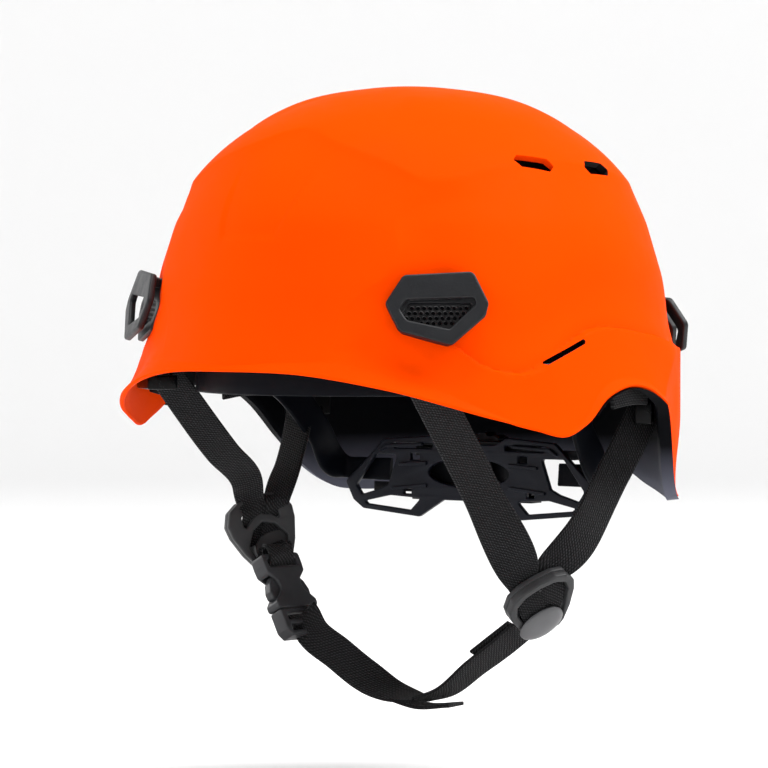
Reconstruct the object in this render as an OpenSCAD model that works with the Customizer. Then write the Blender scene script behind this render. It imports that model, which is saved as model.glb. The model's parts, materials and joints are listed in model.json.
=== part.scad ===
// Climbing helmet with a moulded dome shell, an adjustable rear cradle and a webbing chin strap.
// Millimetres. +Z is up, -Y is the wearer's front, +X is the wearer's left.
// The origin lies on the middle plane, 130 mm below the crown, level with the headband.

/* [Shell] */
// Half width of the dome at its widest level
half_width = 102; // [90:1:115]
// Reach of the dome ahead of the origin
front_reach = 124.4; // [110:0.2:140]
// Reach of the dome behind the origin
rear_reach = 129.4; // [115:0.2:145]
// Height of the crown above the dome's widest level
dome_rise = 89.5; // [75:0.5:105]
// Level where the dome turns into the flared skirt
skirt_top = 40; // [30:1:50]
// Thickness of the moulded shell
wall = 3; // [2:0.1:5]
// Outward slope of the skirt at the front
front_flare = 0.39; // [0:0.01:0.6]
// Outward slope of the skirt at the sides and rear
side_flare = 0.32; // [0:0.01:0.6]

/* [Liner and headband] */
// Thickness of the foam crown liner
liner_thick = 18; // [10:1:30]
// Level of the liner's lower edge
liner_level = 52; // [45:1:80]
// Half width of the headband
band_half_width = 77; // [68:1:85]
// Length of the headband ahead of its centre
band_reach = 91.5; // [85:1:105]
// How far the headband's centre sits ahead of the origin
band_lead = 18; // [0:1:30]
// Height of the headband strip
band_height = 24; // [15:1:35]

/* [Rear cradle] */
// Distance of the cradle behind the origin at the tightest setting
cradle_back = 45; // [30:1:80]
// Level of the adjuster's centre
cradle_level = -40; // [-55:1:-20]
// Radius of the adjuster wheel
wheel_r = 17; // [12:0.5:22]
// Tooth module of the adjuster's pinion and racks
tooth_module = 1; // [0.6:0.1:1.5]
// Number of teeth on the pinion
pinion_teeth = 10; // [8:2:16]

/* [Straps and buckle] */
// Width of all webbing
web_w = 15; // [12:1:25]
// Thickness of all webbing
web_t = 1.6; // [1:0.1:3]
// Tilt of the hanging buckle from upright
buckle_tilt = 28; // [0:1:30]
// Width of the buckle
buckle_w = 24.5; // [20:0.5:32]
// Thickness of the buckle
buckle_t = 8; // [6:0.5:12]

/* [Show] */
// Name of the one sub-part to show, or all

/* [Hidden] */

// Azimuth is measured from the front (-Y) towards the wearer's left (+X).
function ease(a, b, x) = let (u = max(0, min(1, (x - a) / (b - a)))) u * u * (3 - 2 * u);
function lerp(a, b, u) = a + (b - a) * u;

// ---- dome law ----
up_power_front = 2.05;
up_power_rear = 2.12;
skirt_depth_front = 62;
skirt_depth_rear = 24;
function frontness(t) = (1 + cos(t)) / 2;
function plan_r(t) = 1 / norm([sin(t) / half_width, cos(t) / (cos(t) > 0 ? front_reach : rear_reach)]);
function flare(t) = cos(t) > 0 ? lerp(side_flare, front_flare, pow(cos(t), 2)) : side_flare;
function flare_depth(t) = lerp(skirt_depth_front, skirt_depth_rear, ease(88, 125, abs(t)));
function skirt_r(t, z) = plan_r(t) + flare(t) * min(skirt_top - z, flare_depth(t));
function dome_ray(t, rise, inset) =
    let (p = lerp(up_power_rear, up_power_front, frontness(t)))
    pow(pow(cos(rise) / (plan_r(t) - inset), p) + pow(sin(rise) / (dome_rise - inset), p), -1 / p);
function polar(r, t, z) = [r * sin(t), -r * cos(t), z];
function dome_point(t, rise, inset) =
    let (ray = dome_ray(t, rise, inset))
    polar(ray * cos(rise), t, skirt_top + ray * sin(rise));
function skirt_point(t, z, inset) = polar(skirt_r(t, z) - inset, t, z);

// Height of the shell's lower edge by azimuth: brow, cheek lobe, ear arch, nape corner, nape.
RIM = [[0, 8.5], [15, 7.5], [30, 1.5], [50, -10.5], [60, -16], [67, -18.8], [73, -14], [80, -4.5],
       [86, -0.5], [93, 0.5], [100, -3], [106, -11], [113, -27], [120, -41], [127, -49], [134, -50.8],
       [142, -50.5], [151, -48.5], [159, -45], [164, -41], [170, -36], [175, -33.8], [180, -33.3]];
function rim_z(t) = lookup(abs(t), RIM);

columns = 72;
dome_rows = 11;
skirt_rows = 6;
liner_columns = 48;

// One skin of the dome as rings of points, crown first, down to the edge height given per column.
function skin(cols, rows, skirts, inset, edge) = concat(
    [for (i = [1 : rows]) [for (j = [0 : cols - 1])
        dome_point(j * 360 / cols - 180, 90 * (1 - i / rows), inset)]],
    [for (i = [1 : skirts]) [for (j = [0 : cols - 1])
        skirt_point(j * 360 / cols - 180, lerp(skirt_top, edge[j], i / skirts), inset)]]);
function flatten(rings) = [for (ring = rings) each ring];
function ring_faces(rings, cols, first, inward) = [for (i = [0 : rings - 2]) for (j = [0 : cols - 1])
    let (a = first + i * cols + j, b = first + i * cols + (j + 1) % cols, c = b + cols, d = a + cols)
    each (inward ? [[a, b, c], [a, c, d]] : [[a, c, b], [a, d, c]])];
function cap_faces(pole, cols, first, inward) = [for (j = [0 : cols - 1])
    inward ? [pole, first + (j + 1) % cols, first + j] : [pole, first + j, first + (j + 1) % cols]];

// A dome-shaped wall between two insets from the outer surface.
module dome_wall(cols, rows, skirts, outer, inner, edge) {
    rings = rows + skirts;
    ring_points = rings * cols;
    points = concat([[0, 0, skirt_top + dome_rise - outer], [0, 0, skirt_top + dome_rise - inner]],
                    flatten(skin(cols, rows, skirts, outer, edge)),
                    flatten(skin(cols, rows, skirts, inner, edge)));
    last_out = 2 + (rings - 1) * cols;
    last_in = last_out + ring_points;
    polyhedron(points, concat(
        cap_faces(0, cols, 2, true), cap_faces(1, cols, 2 + ring_points, false),
        ring_faces(rings, cols, 2, true), ring_faces(rings, cols, 2 + ring_points, false),
        [for (j = [0 : cols - 1]) let (k = (j + 1) % cols)
            each [[last_out + j, last_out + k, last_in + k], [last_out + j, last_in + k, last_in + j]]]));
}

// Places children on the skirt: local Z points out of the wall, local Y up it.
module on_wall(t, z, lean) {
    rotate([0, 0, t])
        translate([0, -skirt_r(t, z), z])
            rotate([90 - lean, 0, 0]) children();
}
// Places children on the upper dome at a given rise above the skirt line.
module on_dome(t, rise, lean) {
    point = dome_point(t, rise, 0);
    translate(point)
        rotate([0, 0, t])
            rotate([90 - lean, 0, 0]) children();
}
module mirrored(side) {
    if (side > 0) children();
    else mirror([1, 0, 0]) children();
}
module slot_2d(length, width) {
    polygon([[-length / 2, 0], [-length / 2 + width / 2, width / 2], [length / 2 - width / 2, width / 2],
             [length / 2, 0], [length / 2 - width / 2, -width / 2], [-length / 2 + width / 2, -width / 2]]);
}

// ---- shell openings ----
vent_long = 23;
vent_high = 5.4;
vent_deep = 60;
module vent_cut(grow) {
    for (side = [-1, 1]) mirrored(side) {
        on_dome(74, 34, 42) rotate([0, 0, -4]) translate([0, 0, -vent_deep / 2])
            linear_extrude(vent_deep) slot_2d(vent_long + grow, vent_high + grow);
        on_dome(106, 32.5, 42) rotate([0, 0, -8]) translate([0, 0, -vent_deep / 2])
            linear_extrude(vent_deep) slot_2d(vent_long + grow, vent_high + grow);
    }
}
clip_front_t = 40.8;
clip_front_z = 34.7;
clip_rear_t = 160;
clip_rear_z = 23;
clip_lean = 16;
grille_w = 30;
grille_h = 13;
foot_w = 22;
foot_h = 4;
foot_y = 10.5;
foot_deep = 2.2;
module clip_place(t, z) { on_wall(t, z, clip_lean) children(); }
module accessory_slot_cut() {
    on_wall(70.5, 16.5, 17) rotate([0, 0, 22]) translate([0, 0, -10])
        linear_extrude(20) slot_2d(28, 3.2);
}
module grille_outline(shrink) {
    w = grille_w / 2 - shrink;
    h = grille_h / 2 - shrink;
    polygon([[-w, 0], [-w + 3, h], [w, h], [w, h - 4], [w * 0.3, -h], [-w + 3, -h + 3]]);
}

module outer_shell() {
    edge = [for (j = [0 : columns - 1]) rim_z(j * 360 / columns - 180)];
    color([1, 0.33, 0]) difference() {
        dome_wall(columns, dome_rows, skirt_rows, 0, wall, edge);
        vent_cut(0);
        for (side = [-1, 1]) mirrored(side) {
            accessory_slot_cut();
            clip_place(clip_front_t, clip_front_z) translate([0, -3, -8])
                linear_extrude(16) grille_outline(0);
            for (place = [[clip_front_t, clip_front_z], [clip_rear_t, clip_rear_z]])
                clip_place(place[0], place[1]) translate([0, foot_y, 0])
                    cube([foot_w + 0.4, foot_h + 0.4, 16], center = true);
        }
    }
}

// Clearance between the shell's inner face and what lines it.
skin_gap = 1.2;
module crown_liner() {
    edge = [for (j = [0 : liner_columns - 1]) skirt_top];
    outer = wall + skin_gap;
    color([0.12, 0.12, 0.13]) difference() {
        dome_wall(liner_columns, 8, 1, outer, outer + liner_thick, [for (e = edge) e - 1]);
        translate([0, 0, liner_level - 50]) cube([300, 300, 100], center = true);
        vent_cut(1.5);
    }
}

// Thin grey lining on the inside of the sides and nape, ending just above the shell's edge.
lining_top = 36;
lining_t = 2.6;
module nape_liner() {
    edge = [for (j = [0 : liner_columns - 1])
        let (t = j * 360 / liner_columns - 180) rim_z(t) + 3 + (abs(t) < 90 ? 20 : 0)];
    outer = wall + skin_gap;
    color([0.35, 0.35, 0.37]) difference() {
        dome_wall(liner_columns, 2, 5, outer, outer + lining_t, edge);
        translate([-150, -150, lining_top]) cube([300, 300, 200]);
        translate([-150, -150, -100]) cube([300, 158, 300]);
    }
}

// Pocket behind the accessory slot that the tab of an ear defender latches into.
module slot_box() {
    on_wall(64, 5.5, 17) translate([0, 0, -wall - 1.9]) rotate([180, 0, 0]) difference() {
        translate([-9, -8, 0]) cube([18, 16, 5]);
        translate([-6.5, -9, 1.4]) cube([13, 14, 2.2]);
    }
}
module slot_box_left() { color([0.08, 0.08, 0.09]) slot_box(); }
module slot_box_right() { color([0.08, 0.08, 0.09]) mirror([1, 0, 0]) slot_box(); }

// ---- headband ----
module band_ring(half_w, reach, thick, z0, z1) {
    translate([0, -band_lead, z0]) linear_extrude(z1 - z0) difference() {
        scale([1, reach / half_w]) circle(half_w, $fn = 72);
        scale([1, (reach - thick) / (half_w - thick)]) circle(half_w - thick, $fn = 72);
        translate([-200, 8]) square([400, 400]);
    }
}
band_z0 = -2;
band_t = 2;
module headband() {
    color([0.09, 0.09, 0.1]) band_ring(band_half_width, band_reach, band_t, band_z0, band_z0 + band_height);
}
pad_t = 6;
module brow_pad() {
    inner = band_t + 0.3;
    color([0.07, 0.07, 0.08]) difference() {
        band_ring(band_half_width - inner, band_reach - inner, pad_t, band_z0 + 1, band_z0 + band_height - 1);
        translate([-200, -62, -50]) cube([400, 400, 100]);
    }
}

// ---- headlamp clips and vent grilles ----
clip_gap = 4.2;
clip_t = 2.6;
module clip_outline() {
    polygon([[-14, 13.5], [15, 15], [21, 1.5], [19.5, -4], [5, -16.5], [-16.5, -10.5], [-22, 1.5]]);
}
module clip_window() {
    polygon([[-13, 3], [15, 3.8], [15.5, 1], [4.4, -9.6], [-13, -5.7], [-16, -1]]);
}
module lamp_clip() {
    color([0.1, 0.1, 0.11]) {
        difference() {
            translate([0, 0, clip_gap]) linear_extrude(clip_t) clip_outline();
            translate([0, 0, clip_gap - 1]) linear_extrude(clip_t + 2) clip_window();
        }
        translate([-foot_w / 2, foot_y - foot_h / 2, -foot_deep]) cube([foot_w, foot_h, foot_deep + clip_gap]);
    }
}
module clip_at(side, t, z) { mirrored(side) clip_place(t, z) lamp_clip(); }
module lamp_clip_front_left() { clip_at(1, clip_front_t, clip_front_z); }
module lamp_clip_front_right() { clip_at(-1, clip_front_t, clip_front_z); }
module lamp_clip_rear_left() { clip_at(1, clip_rear_t, clip_rear_z); }
module lamp_clip_rear_right() { clip_at(-1, clip_rear_t, clip_rear_z); }

cell = 3.2;
module vent_grille() {
    color([0.08, 0.08, 0.09]) linear_extrude(1.2) difference() {
        grille_outline(0.3);
        for (row = [-2 : 2]) for (column = [-4 : 4])
            translate([(column + (row % 2 == 0 ? 0 : 0.5)) * cell, row * cell * 0.87])
                circle(cell * 0.42, $fn = 6);
    }
}
module grille_at(side) {
    mirrored(side) clip_place(clip_front_t, clip_front_z) translate([0, -3, -2.6]) vent_grille();
}
module vent_grille_left() { grille_at(1); }
module vent_grille_right() { grille_at(-1); }

// ---- webbing ----
// A flat strip from a to b whose face looks towards azimuth face.
module webbing(a, b, face, width, thick) {
    run = b - a;
    length = norm(run);
    down = acos(run[2] / length);
    turn = atan2(run[1], run[0]);
    look = [sin(face), -cos(face), 0];
    across = [cos(down) * cos(turn), cos(down) * sin(turn), -sin(down)];
    beside = [-sin(turn), cos(turn), 0];
    spin = atan2(-(look * across), look * beside);
    translate(a) rotate([0, down, turn]) rotate([0, 0, spin])
        translate([-width / 2, -thick / 2, 0]) cube([width, thick, length]);
}
web_color = [0.13, 0.13, 0.14];
// A strip that bends at each point of its path; faces gives where each stretch looks.
module webbing_run(path, faces) {
    for (i = [0 : len(path) - 2]) webbing(path[i], path[i + 1], faces[i], web_w, web_t);
}

module strap_front_left() {
    color(web_color) webbing_run([[66, -84, 8], [70, -46.5, -43.4], [74, -24, -79]], [30, 38]);
}
module strap_rear_left() {
    color(web_color) webbing_run([[86.9, 53.5, -5], [87.7, 24.7, -36], [82, -11, -74]], [50, 46]);
}
module strap_front_right() {
    color(web_color) webbing_run([[-67, -90.5, 8], [-66.5, -51.5, -30], [-71, -20.8, -52.4]], [22, 28]);
}
module strap_rear_right() {
    color(web_color) webbing_run([[-94, 39.5, 0], [-84, 24, -20], [-67.2, -7.6, -49.6]], [14, 12]);
}
// Short webbing piece sewn along the ear arch, from the rear bracket forwards.
module arch_strap_left() {
    color(web_color) webbing([100.4, 33, -2], [103, 1, -3], 84, web_w * 0.8, web_t);
}
module arch_strap_right() { mirror([1, 0, 0]) arch_strap_left(); }

// Bracket that reaches from the shell's inner face, or its lining, to a strap's upper end.
anchor_w = 20;
anchor_h = 9;
anchor_bar = 2.5;
module strap_anchor(t, z, lean, start, reach) {
    color([0.08, 0.08, 0.09]) on_wall(t, z, lean) translate([0, 0, -start - reach]) difference() {
        translate([-anchor_w / 2, -anchor_h / 2, 0]) cube([anchor_w, anchor_h, reach]);
        translate([-anchor_w / 2 + 2, -anchor_h, anchor_bar])
            cube([anchor_w - 4, anchor_h * 2, reach - 2 * anchor_bar]);
    }
}
module anchor_front_left() { strap_anchor(38.2, 3, atan(flare(38.2)), wall + 3.2, 16); }
module anchor_rear_left() { strap_anchor(118, -12, 0, wall + skin_gap + lining_t + 2.4, 7.6); }
module strap_anchor_front_left() { anchor_front_left(); }
module strap_anchor_front_right() { mirror([1, 0, 0]) anchor_front_left(); }
module strap_anchor_rear_left() { anchor_rear_left(); }
module strap_anchor_rear_right() { mirror([1, 0, 0]) anchor_rear_left(); }

// ---- strap dividers ----
divider_w = 29;
divider_l = 30;
divider_t = 3.2;
cap_x = -3;
cap_y = 9.4;
module divider_outline(grow) {
    w = divider_w / 2 + grow;
    polygon([[-w + 3, divider_l + grow], [w - 3, divider_l + grow], [w, divider_l - 4], [w, divider_l - 12],
             [w * 0.72, 4], [w * 0.46, -grow], [-w * 0.46, -grow], [-w * 0.72, 4],
             [-w, divider_l - 12], [-w, divider_l - 4]]);
}
module strap_divider() {
    color([0.2, 0.2, 0.21]) linear_extrude(divider_t) difference() {
        divider_outline(0);
        translate([-9.5, divider_l - 8.4]) square([19, 4.4]);
        translate([-8.5, divider_l - 17]) square([17, 4.4]);
    }
}
module divider_cap() {
    color([0.45, 0.45, 0.47]) translate([cap_x, cap_y, divider_t + 0.1]) linear_extrude(2.4)
        scale([1, 0.74]) circle(10.4, $fn = 40);
}
module place_left() { translate([68.8, 1.7, -102.7]) rotate([133, -27, 51]) children(); }
module place_right() { translate([-64, -11.8, -82.2]) rotate([100, 17, -119]) children(); }
module strap_divider_left() { place_left() strap_divider(); }
module strap_divider_right() { place_right() strap_divider(); }
module divider_cap_left() { place_left() divider_cap(); }
module divider_cap_right() { place_right() divider_cap(); }

// ---- rear cradle and adjuster ----
// Flexible arm from the headband's end down to the cradle, bowed outwards round the ear.
band_w = 18;
SIDE_BAND = [[79, -14, 9], [77, 10, -1], [70.5, 30, -23], [68, 41.5, -39]];
module side_band_left() {
    color([0.09, 0.09, 0.1]) for (i = [0 : len(SIDE_BAND) - 2])
        webbing(SIDE_BAND[i], SIDE_BAND[i + 1], 90, band_w, band_t);
}
module side_band_right() { mirror([1, 0, 0]) side_band_left(); }

plate_t = 2.6;
module in_cradle() {
    translate([0, cradle_back, cradle_level]) rotate([90, 0, 0]) mirror([0, 0, 1]) children();
}
// One half of the butterfly plate, with its side window, lower bracket and upper slit.
module cradle_half() {
    difference() {
        polygon([[-0.1, 12], [22, 12], [27, 16], [48, 15], [66, -3], [58, -17], [33, -22], [21, -13], [-0.1, -13]]);
        polygon([[43, 9], [48, 11], [61.5, -3], [55.5, -12.5], [44, -10.5]]);
        polygon([[29, -14], [52, -15.5], [50, -17.5], [34, -19.3]]);
        polygon([[29, 13.6], [45, 12.8], [40, 10.4], [30, 10.6]]);
    }
}
module rear_cradle() {
    color([0.1, 0.1, 0.12]) in_cradle() linear_extrude(plate_t) difference() {
        union() {
            cradle_half();
            mirror([1, 0]) cradle_half();
        }
        for (x = [-15, 15]) translate([x, 0]) circle(8.5, $fn = 40);
        square([30, 17], center = true);
    }
}

pitch = PI * tooth_module;
pinion_r = tooth_module * pinion_teeth / 2;
flange_z = plate_t + 0.3;
flange_t = 1;
gear_z = flange_z + flange_t + 0.3;
gear_t = 4;
cover_z = gear_z + gear_t + 0.4;
cover_t = 2.4;
wheel_z = cover_z + cover_t + 0.5;
wheel_t = 8;
shaft_r = 2.5;
rack_inner = -31;
rack_outer = 54;
rack_bar = 4;
module rack() {
    linear_extrude(gear_t) {
        translate([rack_inner, pinion_r + 1.2]) square([rack_outer - rack_inner, rack_bar]);
        for (i = [-9 : 2]) translate([(i + 0.5) * pitch, pinion_r])
            polygon([[-1.05, 1.3], [-0.45, -0.75], [0.45, -0.75], [1.05, 1.3]]);
    }
}
module rack_left() {
    color([0.14, 0.14, 0.15]) in_cradle() translate([0, 0, gear_z]) rack();
}
module rack_right() {
    color([0.14, 0.14, 0.15]) in_cradle() translate([0, 0, gear_z]) rotate(180) rack();
}

module drive_pinion() {
    color([0.25, 0.25, 0.27]) in_cradle() difference() {
        union() {
            translate([0, 0, flange_z]) cylinder(r = 10.7, h = flange_t, $fn = 60);
            translate([0, 0, flange_z]) cylinder(r = pinion_r - 1.25, h = gear_z + gear_t - flange_z, $fn = 40);
            translate([0, 0, gear_z]) linear_extrude(gear_t) for (i = [0 : pinion_teeth - 1])
                rotate(90 + i * 360 / pinion_teeth)
                    polygon([[pinion_r - 1.6, -0.85], [pinion_r + 0.75, -0.4],
                             [pinion_r + 0.75, 0.4], [pinion_r - 1.6, 0.85]]);
        }
        translate([0, 0, flange_z - 1]) cylinder(r = shaft_r, h = 20, $fn = 40);
    }
}

module adjuster_cover() {
    color([0.09, 0.09, 0.1]) in_cradle() difference() {
        translate([-32, -13.4, plate_t]) cube([64, 26.8, cover_z + cover_t - plate_t]);
        translate([-40, -11, plate_t - 1]) cube([80, 22, cover_z - plate_t + 1]);
        cylinder(r = shaft_r + 0.05, h = 30, $fn = 40);
    }
}

scallops = 14;
module adjuster_wheel() {
    color([0.12, 0.12, 0.13]) in_cradle() {
        translate([0, 0, wheel_z]) difference() {
            cylinder(r = wheel_r, h = wheel_t, $fn = 72);
            for (i = [0 : scallops - 1]) rotate(i * 360 / scallops) translate([wheel_r + 1.4, 0, -1])
                cylinder(r = 2.6, h = wheel_t + 2, $fn = 24);
        }
        translate([0, 0, flange_z + 0.1]) cylinder(r = shaft_r - 0.01, h = wheel_z - flange_z, $fn = 40);
    }
}

// ---- side-release buckle ----
// Local frame: X across the buckle, Y through it, Z up the webbing, zero at the socket's mouth.
buckle_mouth = [-47.8, -20.8, -99.5];
buckle_turn = -8;
module in_buckle() {
    translate(buckle_mouth) rotate([0, 0, buckle_turn]) rotate([0, -buckle_tilt, 0]) rotate([0, 0, 90]) children();
}
module centred(w, t, z0, z1) { translate([-w / 2, -t / 2, z0]) cube([w, t, z1 - z0]); }
cavity_w = 19.2;
cavity_t = 5.2;
socket_h = 25.9;
window_z0 = 4.5;
window_z1 = 15.5;
module buckle_socket() {
    color([0.16, 0.16, 0.18]) in_buckle() difference() {
        centred(buckle_w, buckle_t, 0, socket_h);
        centred(cavity_w, cavity_t, -1, 17.4);
        centred(buckle_w + 2, cavity_t, window_z0, window_z1);
        centred(16.4, buckle_t + 2, 20, 23.6);
    }
}
plug_h = 13;
module buckle_plug() {
    color([0.16, 0.16, 0.18]) in_buckle() {
        difference() {
            centred(buckle_w - 1, buckle_t - 0.6, -plug_h, -0.2);
            centred(16.4, buckle_t, -5.4, -2.4);
            centred(16.4, buckle_t, -10.6, -7.8);
        }
        centred(2, 3.8, -0.2, 9);
    }
}
prong_x = 5.9;
module prong() {
    translate([0, 1.9, 0]) rotate([90, 0, 0]) linear_extrude(3.8)
        polygon([[4.7, 0.15], [7.1, 0.15], [7.3, 5.2], [11.9, 5.2], [11.6, 10], [9, 14.6], [5.6, 16.2], [4.7, 15]]);
}
module buckle_prong_front() { color([0.18, 0.18, 0.2]) in_buckle() mirror([1, 0, 0]) prong(); }
module buckle_prong_rear() { color([0.18, 0.18, 0.2]) in_buckle() prong(); }
module buckle_loop() { color(web_color) in_buckle() centred(web_w, 3.4, 20.6, 23); }

// ---- chin strap ----
// Both runs sag to the low point under the chin and turn about their length on the way.
CHIN_RIGHT = [[-42.2, -21.6, -101.2], [-37.9, -21, -108.5], [-26, -17.5, -118], [-14, -15.5, -126.4],
              [-1.5, -13.5, -132.8], [12, -11.5, -135.9]];
CHIN_LEFT = [[13.4, -11.4, -136.1], [24.5, -10, -132.6], [39.5, -8, -121.2], [52, -5, -111.6], [60, -2.5, -104.6]];
chin_roll = [6, 24, 34, 24, 2, -8, -20, -28, -32];
module chin_run(path, rolls, lift, thick) {
    for (i = [0 : len(path) - 2]) {
        run = path[i + 1] - path[i];
        length = norm(run);
        translate(path[i])
            rotate([0, 0, atan2(run[1], run[0])])
                rotate([0, acos(run[2] / length), 0])
                    rotate([0, 0, rolls[i]])
                        translate([lift - thick / 2, -web_w / 2, 0]) cube([thick, web_w, length]);
    }
}
function part_of(list, first, last) = [for (i = [first : last]) list[i]];
module chin_strap_right() {
    color(web_color) chin_run(CHIN_RIGHT, part_of(chin_roll, 0, 4), 0, web_t);
}
module chin_strap_left() {
    color(web_color) chin_run(CHIN_LEFT, part_of(chin_roll, 5, 8), 0, web_t);
}
module strap_tail_right() {
    color(web_color) chin_run([[2, -13, -135.9], [14, -11.5, -138.8], [30.5, -9.4, -137.6]], [2, 0], 0, web_t);
}
module strap_tail_left() {
    color(web_color) chin_run([CHIN_LEFT[2] + [3, 0.6, 2.6], CHIN_LEFT[3] + [2, 0.6, 2.2]], [-28], -web_t - 1.2, web_t);
}

outer_shell();
crown_liner();
headband();
brow_pad();
lamp_clip_front_left();
lamp_clip_front_right();
lamp_clip_rear_left();
lamp_clip_rear_right();
vent_grille_left();
vent_grille_right();
nape_liner();
slot_box_left();
slot_box_right();
arch_strap_left();
arch_strap_right();
strap_anchor_front_left();
strap_anchor_front_right();
strap_anchor_rear_left();
strap_anchor_rear_right();
strap_front_left();
strap_front_right();
strap_rear_left();
strap_rear_right();
strap_divider_left();
strap_divider_right();
divider_cap_left();
divider_cap_right();
side_band_left();
side_band_right();
rear_cradle();
adjuster_cover();
adjuster_wheel();
drive_pinion();
rack_left();
rack_right();
buckle_socket();
buckle_loop();
buckle_plug();
buckle_prong_front();
buckle_prong_rear();
chin_strap_left();
chin_strap_right();
strap_tail_left();
strap_tail_right();
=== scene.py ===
import json
import math

import bmesh
import bpy
import numpy as np
from mathutils import Matrix, Vector


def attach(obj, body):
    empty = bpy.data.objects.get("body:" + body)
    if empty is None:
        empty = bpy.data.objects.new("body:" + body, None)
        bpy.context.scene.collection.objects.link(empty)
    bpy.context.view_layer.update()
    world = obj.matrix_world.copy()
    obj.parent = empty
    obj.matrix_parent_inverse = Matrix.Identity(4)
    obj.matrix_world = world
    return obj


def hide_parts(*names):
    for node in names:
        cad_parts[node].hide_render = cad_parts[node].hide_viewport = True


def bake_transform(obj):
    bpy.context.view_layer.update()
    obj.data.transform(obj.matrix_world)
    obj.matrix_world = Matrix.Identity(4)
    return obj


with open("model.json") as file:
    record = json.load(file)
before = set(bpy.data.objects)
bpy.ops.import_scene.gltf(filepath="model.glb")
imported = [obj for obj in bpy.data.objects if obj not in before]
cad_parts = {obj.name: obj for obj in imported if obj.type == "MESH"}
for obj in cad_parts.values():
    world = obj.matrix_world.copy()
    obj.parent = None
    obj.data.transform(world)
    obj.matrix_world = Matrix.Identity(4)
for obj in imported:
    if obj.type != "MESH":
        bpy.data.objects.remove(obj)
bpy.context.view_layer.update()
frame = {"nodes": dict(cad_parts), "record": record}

# Lengths in this script are millimetres in the row frame; MM turns them into Blender's metres.
MM = 0.001


# ---------------------------------------------------------------- small maths
def smooth(a, b, x):
    """0 below a, 1 above b, and an S curve between."""
    u = np.clip((x - a) / (b - a), 0.0, 1.0)
    return u * u * (3.0 - 2.0 * u)


def through(table, x):
    """A smooth curve through a table of (x, y) rows, read at x."""
    xs, ys = np.array(table, float).T
    slopes = np.gradient(ys, xs)
    x = np.clip(x, xs[0], xs[-1])
    i = np.clip(np.searchsorted(xs, x, side="right") - 1, 0, len(xs) - 2)
    step = xs[i + 1] - xs[i]
    u = (x - xs[i]) / step
    rise = ys[i] * (1 + 2 * u) * (1 - u) ** 2 + ys[i + 1] * u * u * (3 - 2 * u)
    return rise + step * (slopes[i] * u * (1 - u) ** 2 - slopes[i + 1] * u * u * (1 - u))


def spaced(points, step):
    """Points every step along a smooth curve through rows of numbers, of which three are the place."""
    points = np.array(points, float)
    chord = np.concatenate([[0], np.cumsum(np.linalg.norm(np.diff(points[:, :3], axis=0), axis=1))])
    fine = np.linspace(0, chord[-1], max(8, int(chord[-1] / step)))
    return np.stack([through(np.stack([chord, column], 1), fine) for column in points.T], 1)


def unit(v):
    v = np.asarray(v, float)
    return v / np.linalg.norm(v, axis=-1, keepdims=True)


def turned(x_deg, y_deg, z_deg):
    """The turn that OpenSCAD's rotate([x, y, z]) makes."""
    parts = [Matrix.Rotation(math.radians(a), 4, n) for a, n in ((z_deg, "Z"), (y_deg, "Y"), (x_deg, "X"))]
    return parts[0] @ parts[1] @ parts[2]


def moved(x, y, z):
    return Matrix.Translation((x, y, z))


def at(matrix, point):
    return list(matrix @ Vector(point))


# ---------------------------------------------------------------- mesh building
def linked(name, data):
    obj = bpy.data.objects.new(name, data)
    bpy.context.scene.collection.objects.link(obj)
    return obj


def evaluated(obj):
    return obj.evaluated_get(bpy.context.evaluated_depsgraph_get())


def new_object(name, mesh, look):
    obj = linked(name, mesh)
    obj.data.materials.clear()
    obj.data.materials.append(MATERIALS[look])
    return obj


def finish_mesh(obj, sharp=35):
    """Outward normals, smooth faces and sharp edges above an angle."""
    work = bmesh.new()
    work.from_mesh(obj.data)
    bmesh.ops.recalc_face_normals(work, faces=work.faces)
    work.to_mesh(obj.data)
    work.free()
    obj.data.shade_smooth()
    obj.data.set_sharp_from_angle(angle=math.radians(sharp))
    return obj


def mesh_piece(name, verts, faces, look, sharp=35):
    mesh = bpy.data.meshes.new(name)
    mesh.from_pydata([tuple(c * MM for c in v) for v in verts], [], faces)
    mesh.validate()
    return finish_mesh(new_object(name, mesh, look), sharp)


def apply_modifier(obj, kind, **settings):
    modifier = obj.modifiers.new("step", kind)
    for key, value in settings.items():
        setattr(modifier, key, value)
    bpy.context.view_layer.update()
    mesh = bpy.data.meshes.new_from_object(evaluated(obj))
    old = obj.data
    obj.modifiers.clear()
    obj.data = mesh
    bpy.data.meshes.remove(old)


def joined(objs):
    """One piece out of several, with the first one's name."""
    first = objs[0]
    work = bmesh.new()
    for obj in objs:
        work.from_mesh(obj.data)
    work.to_mesh(first.data)
    work.free()
    for obj in objs[1:]:
        bpy.data.objects.remove(obj)
    return first


def cut(obj, cutters):
    for cutter in cutters:
        apply_modifier(obj, "BOOLEAN", operation="DIFFERENCE", solver="MANIFOLD", object=cutter)
    for cutter in cutters:
        bpy.data.objects.remove(cutter)
    return obj


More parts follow.
